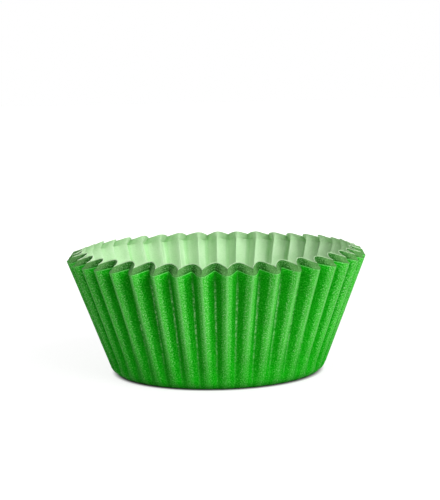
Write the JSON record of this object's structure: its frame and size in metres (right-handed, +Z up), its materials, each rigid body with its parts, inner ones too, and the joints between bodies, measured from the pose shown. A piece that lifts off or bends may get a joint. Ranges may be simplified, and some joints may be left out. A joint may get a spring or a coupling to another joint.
{
  "type": "cupcake liner",
  "caption": "Round baking cup pressed from one green paper sheet, with a flat base, a fluted wall that leans out and a waved rim, open at the top.",
  "frame": {"origin": "middle of the underside of the flat base, on the surface that the liner stands on", "axes": "+Z up along the cup's axis out of its mouth; -Y is the front that the picture shows; +X to its right"},
  "size_m": [0.0698, 0.0698, 0.0294],
  "materials": {
    "green_paper": "matte"
  },
  "bodies": {
    "root": {"paper_liner": "green_paper"}
  },
  "joints": []
}
